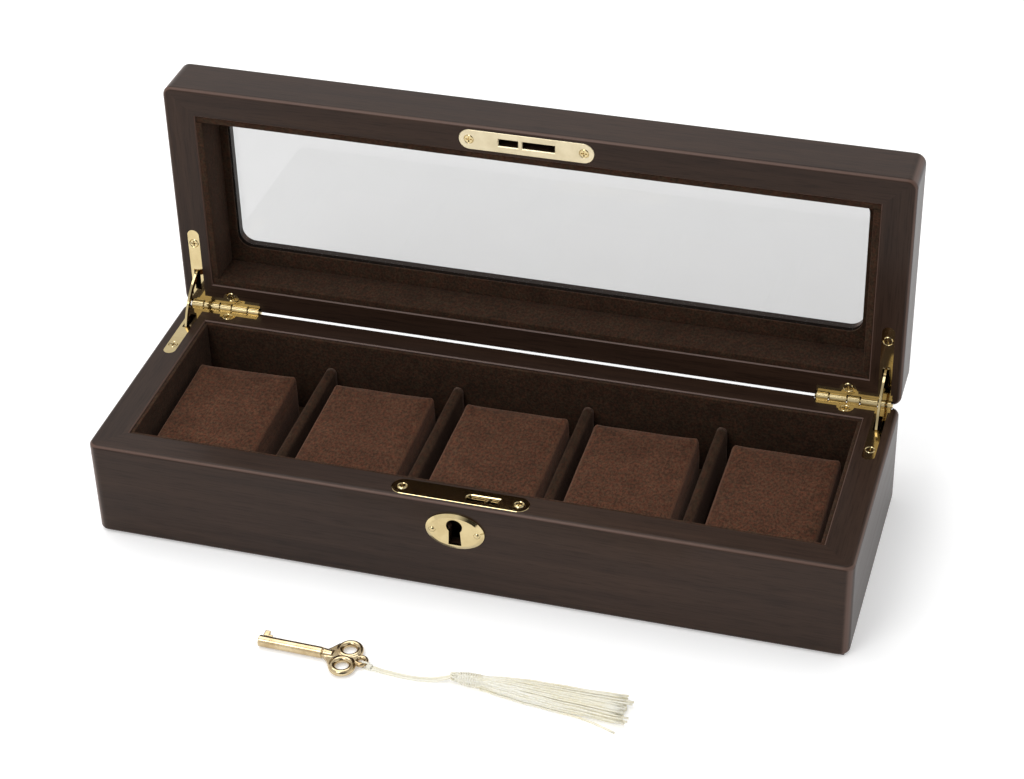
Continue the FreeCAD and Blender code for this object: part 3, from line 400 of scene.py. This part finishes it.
CORD = yarn("cord_yarn", (0.80, 0.77, 0.65), (0.92, 0.90, 0.80), 3800, 0.15)
YARN = yarn("tassel_yarn", (0.80, 0.75, 0.57), (0.95, 0.93, 0.84), 4200, 0.20)


def board_wood():
    """Plain unlacquered board under the tray."""
    material, tree, shader = blank_material("bottom_board", 0.7)
    grain = texture(tree, "ShaderNodeTexNoise", 260, (26.0, 1.0, 1.0), detail=5, roughness=0.6)
    tone = ramp(tree, grain.outputs["Fac"], (0.3, (0.030, 0.018, 0.012)), (0.7, (0.066, 0.040, 0.027)))
    tree.links.new(tone, shader.inputs["Base Color"])
    bumps(tree, shader, (grain.outputs["Fac"], 0.1, 0.3))
    return material


BOARD = board_wood()

# ---- which material each carried-over node takes ----
FINISHES = {
    "base_front": WOOD["x"],
    "base_back": WOOD["x"],
    "base_left": WOOD["y"],
    "base_right": WOOD["y"],
    "lid_front": WOOD["x"],
    "lid_back": WOOD["x"],
    "lid_left": WOOD["z"],
    "lid_right": WOOD["z"],
    "lid_top_panel": WOOD["x"],
    "bottom_board": BOARD,
    "lid_glass": GLASS,
    "strike_plate": SATIN,
    "key": KEY_METAL,
    "lock_case": CASE_STEEL,
}
PRESSED_NODES = ("lock_hook", "lock_hook_pin", "lock_key_post", "lock_spring_leaf")
BRASS_STARTS = ("hinge_", "escutcheon", "lock_face_plate", "lock_plate_screws", "strike_plate_screws")


def finish_cad_nodes():
    """Give each carried-over node its finish."""
    for name, item in NODES.items():
        if name in FINISHES:
            material = FINISHES[name]
        elif name in PRESSED_NODES:
            material = PRESSED
        elif name.startswith(BRASS_STARTS):
            material = POLISHED
        else:
            continue
        item.data.materials.clear()
        item.data.materials.append(material)


# ---- camera, floor and light ----
def add_camera():
    """Camera at the solved place, turned a little about its own axis."""
    forward = (CAMERA_TARGET - CAMERA_PLACE).normalized()
    right = forward.cross(Vector((0, 0, 1))).normalized()
    up = right.cross(forward)
    turned_right = right * math.cos(CAMERA_ROLL) + up * math.sin(CAMERA_ROLL)
    turned_up = up * math.cos(CAMERA_ROLL) - right * math.sin(CAMERA_ROLL)
    data = bpy.data.cameras.new("camera")
    data.lens = CAMERA_LENS
    data.sensor_width = CAMERA_SENSOR
    data.clip_start = 0.05
    data.clip_end = 20
    camera = bpy.data.objects.new("camera", data)
    bpy.context.scene.collection.objects.link(camera)
    turn = Matrix((turned_right, turned_up, -forward)).transposed()
    camera.matrix_world = Matrix.Translation(CAMERA_PLACE) @ turn.to_4x4()
    bpy.context.scene.camera = camera


def add_floor():
    """Plain white sweep to stand on."""
    material, tree, shader = blank_material("white_floor", 0.9)
    grain = texture(tree, "ShaderNodeTexNoise", 40, detail=2)
    tone = ramp(tree, grain.outputs["Fac"], (0.3, (0.855, 0.855, 0.855)), (0.7, (0.870, 0.870, 0.870)))
    tree.links.new(tone, shader.inputs["Base Color"])
    shader.inputs["Specular IOR Level"].default_value = 0.1
    shader.inputs["Emission Color"].default_value = (1, 1, 1, 1)
    shader.inputs["Emission Strength"].default_value = FLOOR_GLOW
    bm = bmesh.new()
    bmesh.ops.create_grid(bm, x_segments=1, y_segments=1, size=FLOOR_REACH)
    floor = mesh_piece("floor", bm, material)


def add_light(name, place, target, size, power):
    """Square softbox that points at a target."""
    data = bpy.data.lights.new(name, "AREA")
    data.shape = "SQUARE"
    data.size = size
    data.energy = power
    light = bpy.data.objects.new(name, data)
    bpy.context.scene.collection.objects.link(light)
    aim = Vector(target) - Vector(place)
    facing = aim.to_track_quat("-Z", "Y").to_matrix().to_4x4()
    light.matrix_world = Matrix.Translation(Vector(place)) @ facing


def add_world():
    """White studio: bright near the horizon, greyer overhead, with one dark corner."""
    world = bpy.data.worlds.new("studio")
    world.use_nodes = True
    bpy.context.scene.world = world
    tree = world.node_tree
    place = tree.nodes.new("ShaderNodeTexCoord")
    parts = tree.nodes.new("ShaderNodeSeparateXYZ")
    tree.links.new(place.outputs["Generated"], parts.inputs["Vector"])
    tone = ramp(
        tree,
        parts.outputs["Z"],
        (0.0, (1.0, 1.0, 1.0)),
        (0.45, (1.0, 1.0, 1.0)),
        (0.85, (0.55, 0.55, 0.55)),
    )
    facing = tree.nodes.new("ShaderNodeVectorMath")
    facing.operation = "DOT_PRODUCT"
    facing.inputs[1].default_value = DARK_CORNER.normalized()
    tree.links.new(place.outputs["Generated"], facing.inputs[0])
    shade = ramp(tree, facing.outputs["Value"], (0.80, (1.0, 1.0, 1.0)), (0.92, (0.05, 0.05, 0.05)))
    tone = mix(tree, "MULTIPLY", 1.0, tone, shade)
    tree.links.new(tone, tree.nodes["Background"].inputs["Color"])
    tree.nodes["Background"].inputs["Strength"].default_value = 1.0


# ---- cords and other tubes ----
def add_cord(name):
    """One half of the doubled cord, on a smooth curve through its route."""
    route = CORD_ROUTES[name]
    data = bpy.data.curves.new(name + "_strand", "CURVE")
    data.dimensions = "3D"
    data.bevel_depth = CORD_D / 2
    data.bevel_resolution = 4
    data.use_fill_caps = True
    data.resolution_u = 16
    spline = data.splines.new("NURBS")
    spline.points.add(len(route) - 1)
    for point, (x, y, z) in zip(spline.points, route):
        point.co = (x * MM, y * MM, z * MM, 1)
    spline.order_u = 3
    spline.use_endpoint_u = True
    data.materials.append(CORD)
    strand = bpy.data.objects.new(name + "_strand", data)
    bpy.context.scene.collection.objects.link(strand)
    return settle(strand, "key", "cord", name)


def tube(bm, points, radii, sides=6, closed=False):
    """Tube with a round section along points, joined to the bmesh."""
    rings = []
    count = len(points)
    normal = None
    for i, point in enumerate(points):
        before = points[i - 1] if (i > 0 or closed) else points[i]
        after = points[(i + 1) % count] if (i < count - 1 or closed) else points[i]
        heading = (after - before).normalized()
        if normal is None:
            normal = heading.orthogonal().normalized()
        normal = (normal - heading * normal.dot(heading)).normalized()
        side = heading.cross(normal)
        radius = radii[i] if isinstance(radii, (list, tuple)) else radii
        ring = []
        for k in range(sides):
            a = 2 * math.pi * k / sides
            ring.append(bm.verts.new(point + (normal * math.cos(a) + side * math.sin(a)) * radius))
        rings.append(ring)
    pairs = list(zip(rings, rings[1:])) + ([(rings[-1], rings[0])] if closed else [])
    for low, high in pairs:
        for k in range(sides):
            n = (k + 1) % sides
            bm.faces.new((low[k], low[n], high[n], high[k]))
    if not closed:
        bm.faces.new(rings[0][::-1])
        bm.faces.new(rings[-1])


def tassel_place(x, y, z):
    """Point in the tassel's own frame, in mm from the cord's end and the floor, to the model's frame."""
    turned = Matrix.Rotation(TASSEL_TURN, 3, "Z") @ Vector((x, y, 0))
    return Vector((TASSEL_START.x + turned.x * MM, TASSEL_START.y + turned.y * MM, z * MM))


# ---- tassel ----
def head_radius(x):
    """Radius of the head's core."""
    return along_table(HEAD_PROFILE, x)[0]


def head_point(x, angle, proud):
    """Point on the head's surface."""
    radius = head_radius(x) + proud
    return tassel_place(x, radius * math.cos(angle), TASSEL_START.z / MM + radius * math.sin(angle))


def wound(bm, x0, x1, turns, start, thread_r, proud, weave=0.0):
    """Thread wound round the head from x0 to x1."""
    line = []
    steps = int(abs(turns) * 22) + 2
    for i in range(steps):
        t = i / (steps - 1)
        angle = start + 2 * math.pi * turns * t
        line.append(head_point(lerp(x0, x1, t), angle, proud + weave * math.sin(angle * 5.0)))
    tube(bm, line, thread_r * MM, 6)


def add_tassel_head():
    """Bound head: a core, thread wound over it both ways, a tight collar and loops at the neck."""
    bm = bmesh.new()
    stations = [0.1 + 14.2 * i / 26 for i in range(27)]
    centres = [tassel_place(x, 0, TASSEL_START.z / MM) for x in stations]
    tube(bm, centres, [(head_radius(x) - 0.45) * MM for x in stations], 24)
    for way in (1, -1):
        for start in range(4):
            wound(bm, 1.6, 12.6, way * 2.6, start * math.pi / 2, 0.36, -0.34, 0.16)
    wound(bm, 12.2, 14.2, 3.6, 0.4, 0.34, -0.30)
    rng = random.Random(HEAD_SEED)
    for k in range(NECK_LOOPS):
        angle = 2 * math.pi * k / NECK_LOOPS + rng.uniform(-0.2, 0.2)
        out = rng.uniform(0.2, 0.7)
        loop = []
        for i in range(15):
            t = i / 14
            bow = math.sin(math.pi * t)
            loop.append(head_point(lerp(0.4, 3.6, t), angle + 0.6 * bow, out * bow - 0.25))
        tube(bm, loop, 0.32 * MM, 6)
    return settle(mesh_piece("tassel_head_bound", bm, YARN), "key", "tassel_yarn", "tassel_head")


def skirt_line(rng, across, height, reach, stray):
    """Centre line of one strand of the skirt, from inside the collar to its cut end."""
    points = []
    wander = rng.uniform(-0.9, 0.9)
    lift = rng.uniform(-0.35, 0.35)
    phase = rng.uniform(0, 6.28)
    waves = rng.uniform(2.2, 5.5)
    for i in range(19):
        t = i / 18
        x = lerp(13.6, reach, t)
        half_w, half_h = along_table(SKIRT_SECTIONS, x)
        y = across * half_w + wander * math.sin(phase + waves * t) * t + stray * max(0.0, t - 0.6) ** 2
        centre = lerp(TASSEL_START.z / MM, half_h + STRAND_R, min(1.0, t * 2.2))
        z = centre + height * half_h + lift * math.sin(phase * 2 + waves * 1.3 * t) * t
        points.append(tassel_place(x, y, max(STRAND_R, z)))
    return points


def add_skirt():
    """Loose silky strands that fan out and end raggedly, with one stray."""
    bm = bmesh.new()
    rng = random.Random(SKIRT_SEED)
    golden_angle = math.pi * (3 - math.sqrt(5))
    for i in range(STRANDS):
        out = math.sqrt((i + 0.5) / STRANDS)
        across = out * math.cos(i * golden_angle)
        height = out * math.sin(i * golden_angle)
        reach = rng.uniform(71.5, 75.5)
        if rng.random() < 0.12:
            reach = rng.uniform(75.5, 78.0)
        line = skirt_line(rng, across, height, reach, 0.0)
        swell_at = [0.94 + 0.10 * math.sin(1.7 * k + i) for k in range(len(line))]
        tube(bm, line, [STRAND_R * MM * swell for swell in swell_at], 6)
    tube(bm, skirt_line(rng, -0.95, -0.9, 74.0, -24.0), STRAND_R * MM, 6)
    return settle(mesh_piece("tassel_skirt_strands", bm, YARN), "key", "tassel_yarn", "tassel_skirt")


def add_knot():
    """Wraps that bind the doubled cord beside the key's small ring, and the loop through that ring."""
    low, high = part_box("cord_knot")
    centre = (low + high) / 2
    bm = bmesh.new()
    wraps = []
    for i in range(80):
        t = i / 79
        angle = 2 * math.pi * KNOT_TURNS * t
        x = lerp(low.x + 0.35 * MM, high.x - 0.35 * MM, t)
        ring_y = KNOT_WRAP_Y * math.cos(angle)
        ring_z = KNOT_WRAP_Z * math.sin(angle)
        wraps.append(Vector((x, centre.y + ring_y, centre.z + ring_z)))
    tube(bm, wraps, KNOT_YARN_R, 7)
    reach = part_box("key")[1].x - RING_W
    for side in (-1, 1):
        leg = []
        for i in range(13):
            t = i / 12
            x = lerp(high.x - 0.3 * MM, reach - RING_W, t)
            z = centre.z + side * (0.35 + 1.55 * math.sin(math.pi * min(1.0, t * 1.25) * 0.62)) * MM
            leg.append(Vector((x, centre.y + side * 0.25 * MM, max(KNOT_YARN_R, z))))
        tube(bm, leg, KNOT_YARN_R, 6)
    return settle(mesh_piece("cord_knot_wraps", bm, CORD), "key", "cord", "cord_knot")


# ---- suede pieces ----
def rounded_slab(low, high, radius, step):
    """Closed box with rounded edges, cut into cells of about one step."""
    bm = bmesh.new()
    bmesh.ops.create_cube(bm, size=1)
    size = high - low
    centre = (low + high) / 2
    for v in bm.verts:
        v.co = Vector((v.co.x * size.x, v.co.y * size.y, v.co.z * size.z)) + centre
    bmesh.ops.bevel(
        bm, geom=bm.edges[:], offset=radius, offset_type="OFFSET", segments=4, profile=0.5, affect="EDGES",
        clamp_overlap=True,
    )
    for axis in range(3):
        cuts = int(size[axis] / step)
        for i in range(1, cuts):
            place = low.copy()
            place[axis] = low[axis] + size[axis] * i / cuts
            normal = Vector((0, 0, 0))
            normal[axis] = 1
            geom = bm.verts[:] + bm.edges[:] + bm.faces[:]
            bmesh.ops.bisect_plane(bm, geom=geom, plane_co=place, plane_no=normal, dist=1e-6)
    return bm


def undulate(bm, amount, scale, seed):
    """Push each point along its normal by smooth noise."""
    bm.normal_update()
    moves = []
    for v in bm.verts:
        moves.append(v.normal * amount * noise.noise(v.co * scale + Vector((seed, seed * 0.7, 0))))
    for v, move in zip(bm.verts, moves):
        v.co += move


def suede_board(node, body, slot="lining_suede", material=LINING_SUEDE, step=BOARD_CELL):
    """Suede-covered board in the place of a plain one, with soft wrapped edges."""
    low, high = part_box(node)
    bm = rounded_slab(low, high, BOARD_ROUND, step)
    undulate(bm, BOARD_WAVE, BOARD_WAVE_SCALE, len(node))
    piece = mesh_piece(node + "_wrapped", bm, material)
    return settle(piece, body, slot, node)


def add_divider(node):
    """Divider wrapped in suede, with a round top."""
    low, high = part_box(node)
    half = (high.x - low.x) / 2
    middle = (low.x + high.x) / 2
    outline = [(-half, low.z), (-half, lerp(low.z, high.z, 0.35)), (-half, lerp(low.z, high.z, 0.7))]
    for i in range(13):
        a = math.pi - math.pi * i / 12
        outline.append((half * math.cos(a), high.z - half + half * math.sin(a)))
    outline += [(half, lerp(low.z, high.z, 0.7)), (half, lerp(low.z, high.z, 0.35)), (half, low.z)]
    bm = bmesh.new()
    rows = []
    steps = 30
    for j in range(steps + 1):
        y = lerp(low.y, high.y, j / steps)
        rows.append([bm.verts.new((middle + x, y, z)) for x, z in outline])
    for near, far in zip(rows, rows[1:]):
        for k in range(len(outline) - 1):
            bm.faces.new((near[k], near[k + 1], far[k + 1], far[k]))
        bm.faces.new((near[-1], near[0], far[0], far[-1]))
    bm.faces.new(rows[0][::-1])
    bm.faces.new(rows[-1])
    bmesh.ops.recalc_face_normals(bm, faces=bm.faces[:])
    undulate(bm, DIVIDER_WAVE, DIVIDER_WAVE_SCALE, float(node[-1]))
    return settle(mesh_piece(node + "_wrapped", bm, LINING_SUEDE), "base", "lining_suede", node)


def add_window_border():
    """Suede frame round the window, with a soft edge at the glass."""
    item = NODES["lid_window_border"]
    bm = bmesh.new()
    bm.from_mesh(item.data)
    bmesh.ops.remove_doubles(bm, verts=bm.verts[:], dist=1e-6)
    bmesh.ops.dissolve_limit(bm, angle_limit=0.02, verts=bm.verts[:], edges=bm.edges[:])
    sharp = [e for e in bm.edges if len(e.link_faces) == 2 and e.calc_face_angle() > SHARP_ANGLE]
    bmesh.ops.bevel(
        bm, geom=sharp, offset=BORDER_ROUND, segments=2, profile=0.5, affect="EDGES", clamp_overlap=True
    )
    piece = mesh_piece("lid_window_border_wrapped", bm, LINING_SUEDE, smooth=False)
    return settle(piece, "lid", "lining_suede", "lid_window_border")


def swell(piece, centre, pressure, cap):
    """Cloth simulation with air inside, on a larger copy, with each point's move capped."""
    scene = bpy.context.scene
    mesh = piece.data
    start = [v.co.copy() for v in mesh.vertices]
    for v in mesh.vertices:
        v.co = (v.co - centre) * PILLOW_SCALE
    cloth = piece.modifiers.new("Cloth", "CLOTH")
    settings = cloth.settings
    settings.quality = 4
    settings.mass = 0.4
    settings.tension_stiffness = 20
    settings.compression_stiffness = 20
    settings.shear_stiffness = 10
    settings.bending_stiffness = 3
    settings.use_pressure = True
    settings.uniform_pressure_force = pressure
    settings.effector_weights.gravity = 0
    for number in range(1, 16):
        scene.frame_set(number)
    seen = piece.evaluated_get(bpy.context.evaluated_depsgraph_get())
    ends = [v.co.copy() / PILLOW_SCALE + centre for v in seen.data.vertices]
    piece.modifiers.remove(cloth)
    for v, a, b in zip(mesh.vertices, start, ends):
        move = b - a
        if move.length > cap:
            move *= cap / move.length
        v.co = a + move
    scene.frame_set(1)


def add_pillow(number):
    """Watch pillow: suede over foam, swollen a little, with a fine seam ridge beside each end panel."""
    node = f"pillow_{number}"
    low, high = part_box(node)
    centre = (low + high) / 2
    half = (high - low) / 2
    piece = mesh_piece(node + "_suede", rounded_slab(low, high, PILLOW_ROUND, PILLOW_CELL), PILLOW_SUEDE)
    swell(piece, centre, PILLOW_PRESSURE, PILLOW_SWELL)
    points = [v.co - centre for v in piece.data.vertices]
    reach = [max(abs(p[k]) for p in points) for k in range(3)]
    turn = Matrix.Rotation(PILLOW_TURNS[number - 1], 3, "Z")
    turned = []
    for p in points:
        p = Vector([p[k] * half[k] / reach[k] for k in range(3)])
        crown = (1 - (p.x / half.x) ** 2) * (1 - (p.y / half.y) ** 2)
        at_end = max(abs(p.y) / half.y, abs(p.z) / half.z) > 0.9
        seam = math.exp(-(((abs(p.x) - half.x + PILLOW_ROUND) / SEAM_W) ** 2)) if at_end else 0.0
        dent = noise.noise(Vector((p.x * 60 + number * 9, p.y * 60, p.z * 60)))
        p.z -= PILLOW_CROWN * (1 - crown) * max(0.0, p.z / half.z)
        p *= 1 - PILLOW_SEAM + PILLOW_SEAM * seam + PILLOW_DENT * dent
        turned.append(turn @ p)
    room = [(half[k] - PILLOW_GAP[k]) / max(abs(p[k]) for p in turned) for k in range(3)]
    for v, p in zip(piece.data.vertices, turned):
        v.co = centre + Vector([p[k] * min(1.0, room[k]) for k in range(3)])
    smooth = piece.modifiers.new("Subdivision", "SUBSURF")
    smooth.levels = 1
    smooth.render_levels = 1
    settle(piece, node, "pillow_suede", node)
    return piece


# ---- key ----
def add_key():
    """Cast key: the plain rings, barrel and bit run together with soft inner corners."""
    bm = bmesh.new()
    bm.from_mesh(NODES["key"].data)
    piece = mesh_piece("key_cast", bm, KEY_METAL)
    remesh = piece.modifiers.new("Remesh", "REMESH")
    remesh.mode = "VOXEL"
    remesh.voxel_size = KEY_VOXEL
    soften = piece.modifiers.new("Smooth", "SMOOTH")
    soften.factor = 0.5
    soften.iterations = KEY_SOFTENING
    seen = piece.evaluated_get(bpy.context.evaluated_depsgraph_get())
    made = bpy.data.meshes.new_from_object(seen)
    piece.modifiers.clear()
    piece.data = made
    made.polygons.foreach_set("use_smooth", [True] * len(made.polygons))
    return settle(piece, "key", "key_metal", "key")


# ---- making ----
add_camera()
strands = [add_cord(name) for name in CORD_ROUTES]
knot = add_knot()
head = add_tassel_head()
add_skirt()

add_floor()
add_world()
for softbox in SOFTBOXES:
    add_light(*softbox)

finish_cad_nodes()
for name in ("lining_floor", "lining_front", "lining_back", "lining_left", "lining_right"):
    suede_board(name, "base")
for name in ("lid_lining_front", "lid_lining_back", "lid_lining_left", "lid_lining_right"):
    suede_board(name, "lid")
add_window_border()
suede_board("underside_felt", "base", "felt", FELT, FELT_CELL)
for number in range(1, 5):
    add_divider(f"divider_{number}")
for number in range(1, 6):
    add_pillow(number)
add_key()

bpy.context.scene.view_settings.view_transform = "Standard"
bpy.context.view_layer.update()
